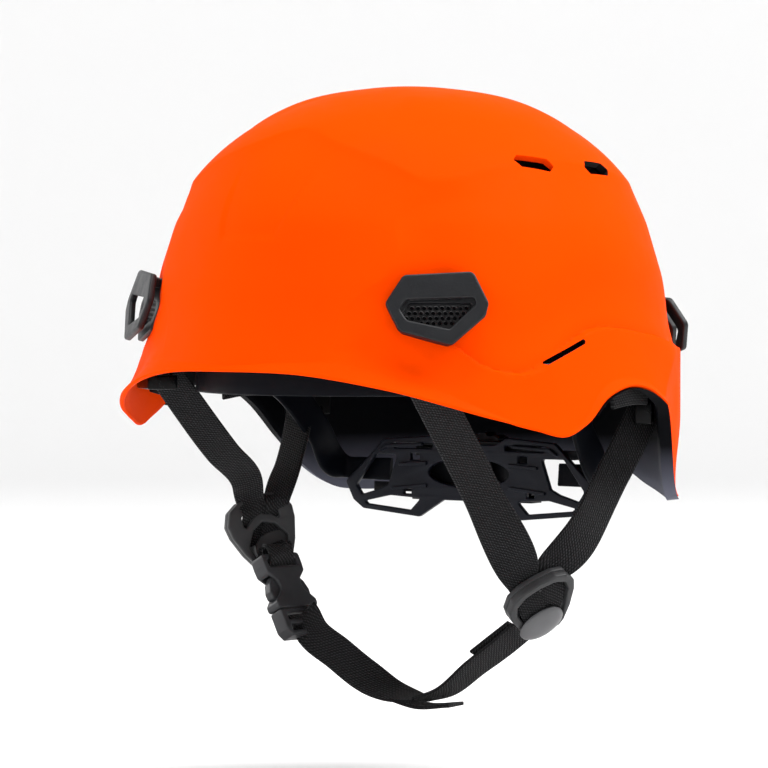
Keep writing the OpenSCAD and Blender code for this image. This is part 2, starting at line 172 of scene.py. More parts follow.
def rounded(corners, radius, steps=5):
    """A polygon with its corners rounded; a corner may carry its own radius as a third number."""
    out = []
    count = len(corners)
    for i, corner in enumerate(corners):
        here = np.array(corner[:2], float)
        back = unit(np.array(corners[i - 1][:2], float) - here)
        ahead = unit(np.array(corners[(i + 1) % count][:2], float) - here)
        want = corner[2] if len(corner) > 2 else radius
        half = math.acos(max(-1.0, min(1.0, float(back @ ahead)))) / 2
        room = 0.48 * min(np.linalg.norm(np.array(corners[i - 1][:2]) - here),
                          np.linalg.norm(np.array(corners[(i + 1) % count][:2]) - here))
        reach = min(want / max(math.tan(half), 1e-3), room)
        if reach < 0.05:
            out.append(here)
            continue
        start, end = here + back * reach, here + ahead * reach
        for k in range(steps + 1):
            u = k / steps
            out.append((1 - u) ** 2 * start + 2 * u * (1 - u) * here + u * u * end)
    return [tuple(map(float, p)) for p in out]


def plate(name, outline, holes, z0, z1, place, look, bevel=0.4, steps=3):
    """A flat part with rounded edges: outline and holes in local X, Y, from z0 to z1, put in place."""
    curve = bpy.data.curves.new(name, "CURVE")
    curve.dimensions = "2D"
    curve.fill_mode = "BOTH"
    for ring in [outline] + list(holes):
        spline = curve.splines.new("POLY")
        spline.points.add(len(ring) - 1)
        for point, (x, y) in zip(spline.points, ring):
            point.co = (x * MM, y * MM, 0, 1)
        spline.use_cyclic_u = True
    curve.extrude = ((z1 - z0) / 2 - bevel) * MM
    curve.bevel_depth = bevel * MM
    curve.bevel_resolution = steps
    curve.offset = -bevel * MM
    maker = linked(name + "_curve", curve)
    bpy.context.view_layer.update()
    mesh = bpy.data.meshes.new_from_object(evaluated(maker))
    bpy.data.objects.remove(maker)
    work = bmesh.new()
    work.from_mesh(mesh)
    bmesh.ops.remove_doubles(work, verts=work.verts, dist=1e-6)
    work.to_mesh(mesh)
    work.free()
    mesh.transform(moved(0, 0, (z0 + z1) / 2 * MM))
    mesh.transform(in_metres(place))
    return finish_mesh(new_object(name, mesh, look))


def in_metres(matrix):
    out = matrix.copy()
    out.translation = matrix.translation * MM
    return out


def prism(outline, z0, z1, place):
    """A bare straight-sided solid, for cutting."""
    count = len(outline)
    verts = [at(place, (x, y, z)) for z in (z0, z1) for x, y in outline]
    faces = [tuple(range(count))[::-1], tuple(range(count, 2 * count))]
    faces += ring_faces(0, 2, count)
    return mesh_piece("cutter", verts, faces, "webbing")


def box_outline(w, y0, y1):
    return [(-w / 2, y0), (w / 2, y0), (w / 2, y1), (-w / 2, y1)]


def refined(node, look, bevel=0.4, segments=2):
    """A CAD node with its flat faces whole again and its edges rounded."""
    mesh = frame["nodes"][node].data.copy()
    work = bmesh.new()
    work.from_mesh(mesh)
    bmesh.ops.remove_doubles(work, verts=work.verts, dist=1e-6)
    bmesh.ops.dissolve_limit(work, angle_limit=math.radians(1.5), verts=work.verts, edges=work.edges)
    work.to_mesh(mesh)
    work.free()
    obj = new_object(node + "_piece", mesh, look)
    apply_modifier(obj, "BEVEL", width=bevel * MM, segments=segments, limit_method="ANGLE",
                   angle_limit=math.radians(30), use_clamp_overlap=True)
    return stands_for(finish_mesh(obj), node)


def body_of(node):
    for body, members in frame["record"]["behaviour"]["bodies"].items():
        if node in members:
            return body
    raise ValueError(node)


def stands_for(obj, node):
    """The piece hides this CAD node and moves with its body."""
    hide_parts(node)
    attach(obj, body_of(node))
    return obj


# ---------------------------------------------------------------- materials
class Look:
    """One procedural material: a Principled shader and short calls that add nodes to it."""

    def __init__(self, name, color, roughness, **values):
        self.material = bpy.data.materials.new(name)
        self.material.use_nodes = True
        self.nodes = self.material.node_tree.nodes
        self.links = self.material.node_tree.links
        self.shader = self.nodes["Principled BSDF"]
        self.color = (*color, 1)
        self.shader.inputs["Base Color"].default_value = self.color
        self.shader.inputs["Roughness"].default_value = roughness
        for key, value in values.items():
            self.shader.inputs[key.replace("_", " ")].default_value = value
        self.height = None

    def node(self, kind, values=(), **settings):
        node = self.nodes.new(kind)
        for key, value in settings.items():
            setattr(node, key, value)
        for key, value in dict(values).items():
            if isinstance(value, bpy.types.NodeSocket):
                self.links.new(value, node.inputs[key])
            else:
                node.inputs[key].default_value = value
        return node

    def where(self, kind="Object"):
        return self.node("ShaderNodeTexCoord").outputs[kind]

    def noise(self, scale, detail=3, vector=None):
        values = {"Vector": vector or self.where(), "Scale": scale, "Detail": detail}
        return self.node("ShaderNodeTexNoise", values).outputs["Fac"]

    def ramp(self, factor, low, high, a, b):
        """Colour a where factor is at low and colour b where it is at high."""
        node = self.node("ShaderNodeValToRGB", {"Fac": factor})
        node.color_ramp.elements[0].position = low
        node.color_ramp.elements[1].position = high
        node.color_ramp.elements[0].color = (*a, 1)
        node.color_ramp.elements[1].color = (*b, 1)
        return node.outputs["Color"]

    def spread(self, factor, low, high):
        values = {"Value": factor, "From Min": 0.3, "From Max": 0.7, "To Min": low, "To Max": high}
        return self.node("ShaderNodeMapRange", values).outputs["Result"]

    def math(self, operation, a, b=0.0):
        return self.node("ShaderNodeMath", {0: a, 1: b}, operation=operation).outputs[0]

    def bump(self, height, distance, strength=1.0):
        """Adds a layer of relief, its depth in millimetres."""
        values = {"Height": height, "Distance": distance * MM, "Strength": strength}
        if self.height is not None:
            values["Normal"] = self.height
        self.height = self.node("ShaderNodeBump", values).outputs["Normal"]
        self.links.new(self.height, self.shader.inputs["Normal"])

    def paint(self, color):
        self.links.new(color, self.shader.inputs["Base Color"])

    def polish(self, roughness):
        self.links.new(roughness, self.shader.inputs["Roughness"])


CLOUD_LIFT = 1.25


def moulded(name, color, roughness, grain=0.02, grain_scale=1500, shine=0.15):
    """Moulded plastic: fine spark-eroded grain, faint clouds of tone and uneven polish."""
    look = Look(name, color, roughness, Specular_IOR_Level=shine)
    clouds = look.noise(60, 4)
    lighter = tuple(min(1.0, c * CLOUD_LIFT) for c in color)
    look.paint(look.ramp(clouds, 0.35, 0.7, color, lighter))
    look.polish(look.spread(look.noise(220, 2), roughness - 0.05, roughness + 0.06))
    look.bump(look.noise(grain_scale, 2), grain)
    return look


def shell_look(name, color):
    """Satin moulded shell: saturated colour, faint orange peel and slightly uneven polish."""
    look = Look(name, color, 0.5, IOR=1.035)
    look.paint(look.ramp(look.noise(18, 3), 0.3, 0.75, tuple(c * 0.95 for c in color), color))
    look.polish(look.spread(look.noise(90, 3), 0.46, 0.56))
    look.bump(look.noise(420, 2), 0.02)
    look.bump(look.noise(2600, 1), 0.006)
    return look


WEAVE_PITCH = 1.05
WEAVE_ROW = 1.5


def webbing_look(name, color, light):
    """Twill webbing from the strip's own millimetres: u runs along it and v across it."""
    look = Look(name, color, 0.75, Specular_IOR_Level=0.1, Sheen_Weight=0.05, Sheen_Roughness=0.4)
    place = look.node("ShaderNodeSeparateXYZ", {"Vector": look.where("UV")})
    u = look.math("MULTIPLY", place.outputs["X"], 1000.0)
    v = look.math("MULTIPLY", place.outputs["Y"], 1000.0)
    across = look.math("MULTIPLY", v, 2 * math.pi / WEAVE_PITCH)
    warp = look.math("ABSOLUTE", look.math("SINE", look.math("MULTIPLY", across, 0.5)))
    drift = look.math("MULTIPLY", look.noise(300, 2), 1.2)
    slant = look.math("ADD", look.math("ADD", u, look.math("MULTIPLY", v, 0.8)), drift)
    rib = look.math("SINE", look.math("MULTIPLY", slant, 2 * math.pi / WEAVE_ROW))
    rib = look.math("MULTIPLY", look.math("ADD", rib, 1.0), 0.5)
    thread = look.math("MULTIPLY", warp, rib)
    look.paint(look.ramp(thread, 0.15, 0.95, color, light))
    look.bump(thread, 0.28)
    look.bump(look.noise(3000, 2), 0.03)
    return look


def foam_look(name, color):
    """Expanded foam: packed beads with darker joints."""
    look = Look(name, color, 0.9, Specular_IOR_Level=0.05)
    beads = look.node("ShaderNodeTexVoronoi", {"Vector": look.where(), "Scale": 330.0})
    look.paint(look.ramp(beads.outputs["Distance"], 0.2, 0.8, tuple(c * 1.5 for c in color), color))
    look.bump(look.math("SUBTRACT", 1.0, beads.outputs["Distance"]), 0.25)
    return look


def lining_look(name, painted_shade, pale):
    """Matt grey lining with painted shade: nearly black high inside the dome, where shade falls, and its own
    paler grey towards its lower edge.
    """
    look = Look(name, painted_shade, 0.6, Specular_IOR_Level=0.03)
    height = look.node("ShaderNodeSeparateXYZ", {"Vector": look.where()}).outputs["Z"]
    # Painted shade: the colour darkens from the lining's grey towards the top of the dome, where the inside
    # lies in shadow.
    level = look.node("ShaderNodeMapRange", {"Value": height, "From Min": -0.026, "From Max": -0.048})
    look.paint(look.ramp(level.outputs["Result"], 0.0, 1.0, painted_shade, pale))
    look.bump(look.noise(700, 3), 0.04)
    return look


def fabric_look(name, color, light):
    """Brushed knit: small loops in rows, with a soft pile."""
    look = Look(name, color, 0.9, Specular_IOR_Level=0.05, Sheen_Weight=0.04, Sheen_Roughness=0.5)
    loops = look.node("ShaderNodeTexVoronoi", {"Vector": look.where(), "Scale": 900.0})
    look.paint(look.ramp(loops.outputs["Distance"], 0.1, 0.7, light, color))
    look.bump(loops.outputs["Distance"], 0.15)
    look.bump(look.noise(150, 3), 0.3)
    return look


LOOKS = {
    "shell_orange": shell_look("shell_orange", (0.96, 0.057, 0.0)),
    "liner_foam": foam_look("liner_foam", (0.0015, 0.0015, 0.0017)),
    # The lining's first colour is painted shade for the top of the dome, the second its own grey.
    "lining_grey": lining_look("lining_grey", (0.0012, 0.0014, 0.0022), (0.085, 0.088, 0.115)),
    "band_plastic": moulded("band_plastic", (0.0022, 0.0027, 0.0045), 0.45, shine=0.05),
    "pad_fabric": fabric_look("pad_fabric", (0.0012, 0.0012, 0.0014), (0.004, 0.004, 0.0045)),
    "clip_plastic": moulded("clip_plastic", (0.006, 0.0065, 0.008), 0.45, 0.07, 1000, shine=0.28),
    "grille_plastic": moulded("grille_plastic", (0.006, 0.006, 0.007), 0.4, shine=0.3),
    "anchor_plastic": moulded("anchor_plastic", (0.0014, 0.0015, 0.0018), 0.3, shine=0.12),
    "webbing": webbing_look("webbing", (0.0045, 0.0045, 0.005), (0.032, 0.032, 0.034)),
    "divider_plastic": moulded("divider_plastic", (0.026, 0.0265, 0.028), 0.45, shine=0.2),
    "cap_plastic": moulded("cap_plastic", (0.078, 0.078, 0.082), 0.42, 0.01, shine=0.35),
    "cradle_plastic": moulded("cradle_plastic", (0.0058, 0.0068, 0.0112), 0.42, 0.05, 900, shine=0.14),
    "wheel_plastic": moulded("wheel_plastic", (0.0045, 0.0048, 0.0065), 0.4, 0.04, 900, shine=0.12),
    "gear_plastic": moulded("gear_plastic", (0.008, 0.008, 0.01), 0.38),
    "buckle_plastic": moulded("buckle_plastic", (0.027, 0.0275, 0.03), 0.4, 0.04, 900, shine=0.25),
}
MATERIALS = {name: look.material for name, look in LOOKS.items()}


# ---------------------------------------------------------------- dome law, as in the CAD
HALF_WIDTH = 102.0
FRONT_REACH = 124.4
REAR_REACH = 129.4
DOME_RISE = 89.5
SKIRT_TOP = 40.0
WALL = 3.0
THINNEST = 1.6
LIP_DROP = 1.2
RIM = [[-8, 8.2], [0, 8.5], [15, 7.5], [30, 1.5], [50, -10.5], [60, -16], [67, -18.8], [73, -14], [80, -4.5],
       [86, -0.5], [93, 0.5], [100, -3], [106, -11], [113, -27], [120, -41], [127, -49], [134, -50.8],
       [142, -50.5], [151, -48.5], [159, -45], [164, -41], [170, -36], [175, -33.8], [180, -33.3]]


def side_angle(t):
    """Azimuth t in degrees from the front, as its angle from the middle plane, 0 to 180."""
    return np.abs((np.asarray(t, float) + 180) % 360 - 180)


def plan_r(t):
    a = np.radians(t)
    reach = np.where(np.cos(a) > 0, FRONT_REACH, REAR_REACH)
    return 1 / np.hypot(np.sin(a) / HALF_WIDTH, np.cos(a) / reach)


def skirt_r(t, z):
    ahead = np.maximum(np.cos(np.radians(t)), 0)
    flare = 0.32 + 0.07 * ahead ** 2
    depth = 62 - 38 * smooth(88, 125, side_angle(t))
    return plan_r(t) + flare * np.minimum(SKIRT_TOP - z, depth)


def dome_ray(t, rise, inset):
    power = 2.12 - 0.07 * (1 + np.cos(np.radians(t))) / 2
    flat = np.cos(np.radians(rise)) / (plan_r(t) - inset)
    up = np.sin(np.radians(rise)) / (DOME_RISE - inset)
    return (flat ** power + up ** power) ** (-1 / power)


def polar(r, t, z):
    a = np.radians(t)
    return np.stack(np.broadcast_arrays(r * np.sin(a), -r * np.cos(a), z), -1)


def rim_z(t):
    return through(RIM, side_angle(t))


def dome_points(t, rise, inset):
    """Points of one skin of the dome, at azimuth t and at an angle of rise above the skirt's top."""
    ray = dome_ray(t, rise, inset)
    return polar(ray * np.cos(np.radians(rise)), t, SKIRT_TOP + ray * np.sin(np.radians(rise)))


def wall_grid(columns, dome_rows, skirt_rows, inset):
    """Rings of points of one skin of the shell, from the crown down to where its round lip starts."""
    t = np.arange(columns) * 360 / columns - 180
    rings = [dome_points(t, 90.0 * (1 - i / dome_rows), inset) for i in range(1, dome_rows + 1)]
    edge = rim_z(t) + LIP_DROP
    for i in range(1, skirt_rows + 1):
        z = SKIRT_TOP + (edge - SKIRT_TOP) * i / skirt_rows
        rings.append(polar(skirt_r(t, z) - inset, t, z))
    return np.array(rings)


def grid_normals(grid):
    down = np.gradient(grid, axis=0)
    round_ = np.roll(grid, -1, 1) - np.roll(grid, 1, 1)
    return unit(np.cross(down, round_))


# ---------------------------------------------------------------- relief of the shell
CROWN_EDGE = [[-8, 41], [0, 41.5], [6, 40], [12, 37], [25, 32], [31, 29.5], [38, 26.2], [46, 27.5], [54, 30],
              [64, 32.5], [74, 34], [90, 34.4], [106, 32.5], [125, 27.5], [140, 26], [155, 29], [180, 33]]
BAND_EDGE = [[36, 27], [40, 24], [45, 19], [49, 12.8], [53, 9.4], [60, 8.6], [65, 12.5], [72, 19.5],
             [80, 25.2], [91, 26], [106, 22.8], [132, 16], [150, 13], [165, 13], [180, 13]]
LIP_WIDTH = [[0, 3], [12, 5], [24, 8], [39, 6.5], [50, 3], [56, 1.2], [66, 1], [74, 2.4], [80, 4.6],
             [94, 4.4], [108, 5], [120, 4], [140, 3], [180, 3]]
SIDE_EDGE = [[15, 19], [38, 23.5], [47, 29], [60, 32], [73, 32], [82, 36]]
CROWN_STEP = 2.4
BAND_STEP = 2.6
LIP_STEP = 2.1
PANEL_STEP = 0.8
SIDE_STEP = 1.5
SPINE_STEP = 1.2
POCKET_STEP = 0.7
UNDERCUT_STEP = 3.2
UNDERCUT_AZIMUTH = 37
UNDERCUT_LEVEL = 14
CLIP_AZIMUTH = {"front": 40.8, "rear": 160.0}
CLIP_LEVEL = {"front": 34.7, "rear": 23.0}


def rim_distance(a, z):
    """How far a point of the skirt is from the shell's lower edge, along the surface."""
    around = np.linspace(-10, 180, 300)
    edge = through(RIM, np.abs(around))
    flat = np.stack([around * 2.0, edge], 1)
    here = np.stack([a * 2.0, z], -1).reshape(-1, 2)
    near = np.array([np.min((flat[:, 0] - x) ** 2 + (flat[:, 1] - y) ** 2) for x, y in here])
    return np.sqrt(near).reshape(a.shape)


def facet(beyond, width, start, end):
    """A fold: nothing before the edge, a straight fall beyond it that levels off, and a slow return."""
    beyond = np.maximum(beyond, 0)
    return (1 - np.exp(-beyond / width)) * (1 - smooth(start, end, beyond))


def relief(points):
    """Outward offset of the shell's surface from the plain dome, in millimetres."""
    x, y, z = np.moveaxis(points, -1, 0)
    t = np.degrees(np.arctan2(x, -y))
    a = np.abs(t)
    rise = np.degrees(np.arctan2(z - SKIRT_TOP, np.hypot(x, y)))
    # Crown panel: everything below its edge steps in, then comes back out.
    below = through(CROWN_EDGE, a) - rise
    out = -CROWN_STEP * facet(below, 4.5, 7, 30)
    # Spine of the crown, a low step on each flank.
    flank = smooth(24, 40, a) * (1 - smooth(120, 150, a))
    out += SPINE_STEP * facet(rise - 45, 6, 12, 34) * flank
    # Side panels set in behind a fold that runs down from the crown panel to the clip.
    beyond = a - through(SIDE_EDGE, z)
    levels = smooth(12, 20, z) * (1 - smooth(78, 90, z))
    out -= SIDE_STEP * facet(beyond, 3, 4, 20) * levels
    # Raised band over the ears: the wall above it steps in.
    above = z - through(BAND_EDGE, a)
    out -= BAND_STEP * smooth(-0.8, 0.8, above) * (1 - smooth(8, 34, above)) * smooth(38, 43, a)
    # Flared lip along the lower edge.
    skirt = z < 45
    gap = np.full(a.shape, 99.0)
    gap[skirt] = rim_distance(a[skirt], z[skirt])
    lip = through(LIP_WIDTH, a)
    out -= LIP_STEP * np.clip(gap / lip, 0, 1) * (1 - smooth(lip + 5, lip + 34, gap))
    # Pockets that the headlamp clips sit in, with an undercut below the front ones.
    for end, reach in (("front", 13.0), ("rear", 11.0)):
        q = np.hypot((a - CLIP_AZIMUTH[end]) / reach, (z - CLIP_LEVEL[end]) / 21)
        out -= POCKET_STEP * (1 - smooth(0.5, 1.0, q))
    q = np.hypot((a - UNDERCUT_AZIMUTH) / 19, (z - UNDERCUT_LEVEL) / 17)
    out -= UNDERCUT_STEP * (1 - smooth(0.0, 1.0, q))
    # Shallow front panel.
    half = 14 + (z - 64) * 0.22
    inside = smooth(-0.5, 0.5, half - np.abs(x)) * smooth(63.4, 64.6, z) * (1 - smooth(82, 97, z)) * (y < 0)
    out -= PANEL_STEP * inside
    return out


SHELL_COLUMNS = 600
LIP_ROWS = 5


def ring_faces(first, rings, columns, flip=False):
    faces = []
    for i in range(rings - 1):
        for j in range(columns):
            a, b = first + i * columns + j, first + i * columns + (j + 1) % columns
            quad = (a, b, b + columns, a + columns)
            faces.append(quad[::-1] if flip else quad)
    return faces


def dome_solid(name, outer, inner, look, lip_height=99.0):
    """A wall between two skins of as many columns, closed along the lower edge by a round lip."""
    columns = outer.shape[1]
    edge_out, edge_in = outer[-1], inner[-1]
    middle, reach = (edge_out + edge_in) / 2, (edge_out - edge_in) / 2
    drop = np.minimum(np.linalg.norm(reach, axis=1), lip_height)[:, None] * np.array([[0, 0, -1.0]])
    turns = np.linspace(0, math.pi, LIP_ROWS + 2)[1:-1]
    lip = [middle + reach * math.cos(u) + drop * math.sin(u) for u in turns]
    rings = np.concatenate([outer, np.array(lip), inner[::-1]])
    verts = rings.reshape(-1, 3).tolist()
    faces = ring_faces(0, len(rings), columns)
    last = (len(rings) - 1) * columns
    for first, flip in ((0, True), (last, False)):
        centre = np.mean(rings.reshape(-1, 3)[first:first + columns], 0)
        centre[2] += 0.02 if first == 0 else -0.02
        verts.append(centre.tolist())
        for j in range(columns):
            tri = (len(verts) - 1, first + j, first + (j + 1) % columns)
            faces.append(tri if flip else tri[::-1])
    return mesh_piece(name, verts, faces, look, 40)


def hexagon_slot(length, width):
    half, side = length / 2, width / 2
    corners = [(-half, 0), (-half + side, side), (half - side, side), (half, 0), (half - side, -side),
               (-half + side, -side)]
    return rounded(corners, 0.7, 3)


def on_wall(t, z, lean):
    """Local Z points out of the skirt and local Y up it."""
    reach = float(skirt_r(t, z))
    return turned(0, 0, t) @ moved(0, -reach, z) @ turned(90 - lean, 0, 0)


def on_dome(t, rise, lean):
    return moved(*dome_points(t, rise, 0)) @ turned(0, 0, t) @ turned(90 - lean, 0, 0)


SIDES = {"left": 1, "right": -1}


def sided(side, matrix):
    """The same place on the wearer's left, or mirrored to the right."""
    return matrix if side == "left" else Matrix.Scale(-1, 4, (1, 0, 0)) @ matrix


CLIP_LEAN = 16
GRILLE_DROP = 3.0
VENTS = ((74, 34, -4), (106, 32.5, -8))
VENT_LEAN = 42
VENT_TOP = 30
ACCESSORY_WALL = (70.5, 16.5, 17)
ACCESSORY_TURN = 22


def vent_cutters(side, length, width, depth):
    """Cutters for one side's hexagonal vents, from outside the dome to a depth inside it."""
    places = [sided(side, on_dome(t, rise, VENT_LEAN) @ turned(0, 0, turn)) for t, rise, turn in VENTS]
    return [prism(hexagon_slot(length, width), -depth, VENT_TOP, place) for place in places]


def clip_place(side, end):
    return sided(side, on_wall(CLIP_AZIMUTH[end], CLIP_LEVEL[end], CLIP_LEAN) @ moved(-1.5, -0.9, 0))


def grille_outline(shrink=0.0):
    w, h = 15 - shrink, 6.5 - shrink
    return [(-w, 0), (-w + 3, h), (w, h), (w, h - 4), (w * 0.3, -h), (-w + 3, -h + 3)]


def shell():
    outer = eased_junction(wall_grid(SHELL_COLUMNS, 112, 62, 0))
    outer = outer + grid_normals(outer) * relief(outer)[..., None]
    inner = wall_grid(SHELL_COLUMNS, 44, 34, WALL)
    inner = inner + grid_normals(inner) * np.minimum(relief(inner) + THINNEST, 0)[..., None]
    obj = dome_solid("helmet_shell", outer, inner, "shell_orange")
    cutters = []
    for side in SIDES:
        cutters += vent_cutters(side, 23, 6.4, 30)
        place = sided(side, on_wall(*ACCESSORY_WALL) @ turned(0, 0, ACCESSORY_TURN))
        cutters.append(prism(hexagon_slot(28, 2.2), -10, 10, place))
        place = clip_place(side, "front") @ moved(0, -GRILLE_DROP, 0)
        cutters.append(prism(grille_outline(), -8, 8, place))
    cut(obj, cutters)
    finish_mesh(obj, 38)
    return stands_for(obj, "outer_shell")


def eased_junction(grid):
    """The crease where the dome meets the flared skirt, spread over a wide soft bend."""
    out = grid.copy()
    for _ in range(260):
        level = out[1:-1, :, 2]
        share = smooth(14, 30, level) * (1 - smooth(52, 72, level))
        out[1:-1] += 0.5 * share[..., None] * ((out[:-2] + out[2:]) / 2 - out[1:-1])
    return out


# ---------------------------------------------------------------- liner, lining, headband and brow pad
LINER_GAP = WALL + 1.2
LINER_THICK = 18.0
LINER_LEVEL = 52.0


def liner_skin(columns, rows, inset):
    """Rings of a skin of the dome from the crown down to the liner's lower face."""
    t = np.arange(columns) * 360 / columns - 180
    low, high = np.zeros(columns), np.full(columns, 90.0)
    for _ in range(24):
        middle = (low + high) / 2
        over = dome_ray(t, middle, inset) * np.sin(np.radians(middle)) > LINER_LEVEL - SKIRT_TOP
        low, high = np.where(over, low, middle), np.where(over, middle, high)
    return np.array([dome_points(t, 90 - (90 - low) * i / rows, inset) for i in range(1, rows + 1)])


def crown_liner():
    outer = liner_skin(180, 26, LINER_GAP)
    inner = liner_skin(180, 22, LINER_GAP + LINER_THICK)
    obj = dome_solid("crown_foam", outer, inner, "liner_foam", lip_height=3.0)
    cut(obj, [cutter for side in SIDES for cutter in vent_cutters(side, 26, 9, 60)])
    return stands_for(finish_mesh(obj, 38), "crown_liner")


def closed_sheet(name, outer, inner, look):
    """A wall between two open grids of the same shape, closed all round its edges."""
    columns = outer.shape[1]
    rings = np.concatenate([outer, inner[::-1]])
    total = len(rings)
    faces = []
    for i in range(total):
        for j in range(columns - 1):
            n = (i + 1) % total
            faces.append((i * columns + j, i * columns + j + 1, n * columns + j + 1, n * columns + j))
    for j in (0, columns - 1):
        for i in range(len(outer) - 1):
            far = total - 1 - i
            faces.append((i * columns + j, (i + 1) * columns + j, (far - 1) * columns + j, far * columns + j))
    return mesh_piece(name, rings.reshape(-1, 3).tolist(), faces, look, 40)


LINING_TOP = 36


def nape_liner():
    """Thin lining of the back half, with a rounded upper edge and shallow pressed channels."""
    t = np.linspace(76, 284, 190)
    t = np.where(t > 180, t - 360, t)
    grids = []
    for inset in (LINER_GAP, LINER_GAP + 2.6):
        rings = []
        for u in np.linspace(0, 1, 34):
            z = LINING_TOP + (rim_z(t) - 1.0 - LINING_TOP) * u
            edge = 1.1 * (1 - smooth(0, 0.05, u)) + 1.1 * smooth(0.95, 1, u)
            pull = edge * (u < 0.5) if inset == LINER_GAP else -edge
            level = smooth(0.1, 0.3, u) * (1 - smooth(0.6, 0.8, u))
            channel = 0.5 * np.cos(np.radians(side_angle(t)) * 24) * level
            if inset == LINER_GAP and u == 1:
                z, pull = z + 0.5, 0.4 - LINER_GAP
            pull = pull + np.maximum(channel, 0) * (inset > LINER_GAP)
            rings.append(polar(skirt_r(t, z) - inset - pull, t, z))
        grids.append(np.array(rings))
    return stands_for(closed_sheet("nape_lining", grids[0], grids[1], "lining_grey"), "nape_liner")


BAND_CENTRE_Y = -18.0
BAND_HALF = 77.0
BAND_REACH = 91.5
BAND_LEVEL = 10.0


def band_point(a, inset, z):
    """A point of the headband's ring; a is the angle from the front."""
    u = math.radians(a)
    return ((BAND_HALF - inset) * math.sin(u), BAND_CENTRE_Y - (BAND_REACH - inset) * math.cos(u), z)


def headband():
    rows = [(*band_point(a, 1.0, BAND_LEVEL), 0, 0, 1, 24.0) for a in np.linspace(-94, 94, 80)]
    obj = ribbon("head_band", rows, 2.0, "band_plastic", corner=0.8)
    cutters = []
    for a in (-62, -50, -38, 38, 50, 62):
        x, y, z = band_point(a, 1.0, BAND_LEVEL)
        turn = math.degrees(math.atan2(x / BAND_HALF ** 2, -(y - BAND_CENTRE_Y) / BAND_REACH ** 2))
        place = moved(x, y, z) @ turned(0, 0, turn) @ turned(90, 0, 0)
        cutters.append(prism(rounded(box_outline(9, -3, 3), 2.5), -6, 6, place))
    cut(obj, cutters)
    finish_mesh(obj)
    return stands_for(obj, "headband")


PAD_SPAN = 56
PAD_SEAMS = (-38, -19, 0, 19, 38)
PAD_INSET = 5.6
PAD_SWELL = 1.0
CLOTH_FRAMES = 14


def brow_pad():
    """Knitted pad inside the headband's front, swollen a little by a cloth run, then given channels."""
    angles = np.linspace(-PAD_SPAN, PAD_SPAN, 60)
    rows = [(*band_point(a, PAD_INSET, BAND_LEVEL), 0, 0, 1, 18.5) for a in angles]
    obj = ribbon("brow_cushion", rows, 4.6, "pad_fabric", corner=1.9)
    apply_modifier(obj, "REMESH", mode="VOXEL", voxel_size=2.4 * MM)
    start = np.array([v.co[:] for v in obj.data.vertices])
    cloth = obj.modifiers.new("swell", "CLOTH")
    cloth.settings.use_pressure = True
    cloth.settings.uniform_pressure_force = 3.0
    cloth.settings.effector_weights.gravity = 0
    cloth.settings.mass = 0.2
    scene = bpy.context.scene
    for number in range(1, CLOTH_FRAMES + 1):
        scene.frame_set(number)
    end = np.array([v.co[:] for v in evaluated(obj).data.vertices])
    obj.modifiers.clear()
    move = end - start
    length = np.linalg.norm(move, axis=1, keepdims=True)
    move *= np.minimum(1, PAD_SWELL * MM / np.maximum(length, 1e-9))
    for vertex, place in zip(obj.data.vertices, start + move):
        vertex.co = place
    scene.frame_set(1)
    apply_modifier(obj, "SUBSURF", levels=1)
    apply_modifier(obj, "SMOOTH", iterations=3)
    for vertex in obj.data.vertices:
        x, y, z = (c / MM for c in vertex.co)
        a = math.degrees(math.atan2(x / BAND_HALF, -(y - BAND_CENTRE_Y) / BAND_REACH))
        near = min(abs(a - seam) for seam in PAD_SEAMS)
        hollow = 1.3 * (1 - float(smooth(0, 2.6, near)))
        middle = Vector(band_point(a, PAD_INSET, z))
        vertex.co = vertex.co + (middle * MM - vertex.co) * min(1.0, hollow / 2.6)
    finish_mesh(obj, 60)
    return stands_for(obj, "brow_pad")


# ---------------------------------------------------------------- webbing
WEB_WIDTH = 15.0
WEB_THICK = 1.6


def strip_section(width, thick, corner, flats=6):
    """Half-round-edged section of a strip as (across, through) pairs, counter-clockwise."""
    corner = min(corner, thick / 2 - 0.01)
    points = []
    for sx, sy, first in ((1, 1, 0), (-1, 1, 90), (-1, -1, 180), (1, -1, 270)):
        for k in range(4):
            u = math.radians(first + 30 * k)
            points.append((sx * (width / 2 - corner) + corner * math.cos(u),
                           sy * (thick / 2 - corner) + corner * math.sin(u)))
        if sy * sx > 0:
            start, end = points[-1], (-points[-1][0], points[-1][1])
            for k in range(1, flats):
                points.append((start[0] + (end[0] - start[0]) * k / flats, start[1]))
    return points


def ribbon(name, rows, thick, look, corner=0.7, step=1.5, lift=0.0):
    """A strip along rows of place, width direction and width, with a run of UVs in metres."""
    line = spaced(rows, step)
    place = line[:, :3]
    along = unit(np.gradient(place, axis=0))
    across = line[:, 3:6]
    across = unit(across - along * np.sum(across * along, 1)[:, None])
    through_dir = np.cross(along, across)
    travelled = np.concatenate([[0], np.cumsum(np.linalg.norm(np.diff(place, axis=0), axis=1))])
    verts, marks = [], []
    for i in range(len(line)):
        section = strip_section(line[i, 6], thick, corner)
        for s, n in section:
            verts.append((place[i] + across[i] * s + through_dir[i] * (n + lift)).tolist())
            marks.append((travelled[i] * MM, s * MM))
    count = len(section)
    faces = ring_faces(0, len(line), count)
    last = (len(line) - 1) * count
    faces += [tuple(range(count))[::-1], tuple(range(last, last + count))]
    obj = mesh_piece(name, verts, faces, look, 50)
    layer = obj.data.uv_layers.new(name="strip")
    for loop in obj.data.loops:
        layer.data[loop.index].uv = marks[loop.vertex_index]
    return obj


def toward(previous, direction):
    """The direction, turned over if needed to agree with the previous one."""
    direction = unit(direction)
    return direction if previous is None or float(direction @ previous) >= 0 else -direction


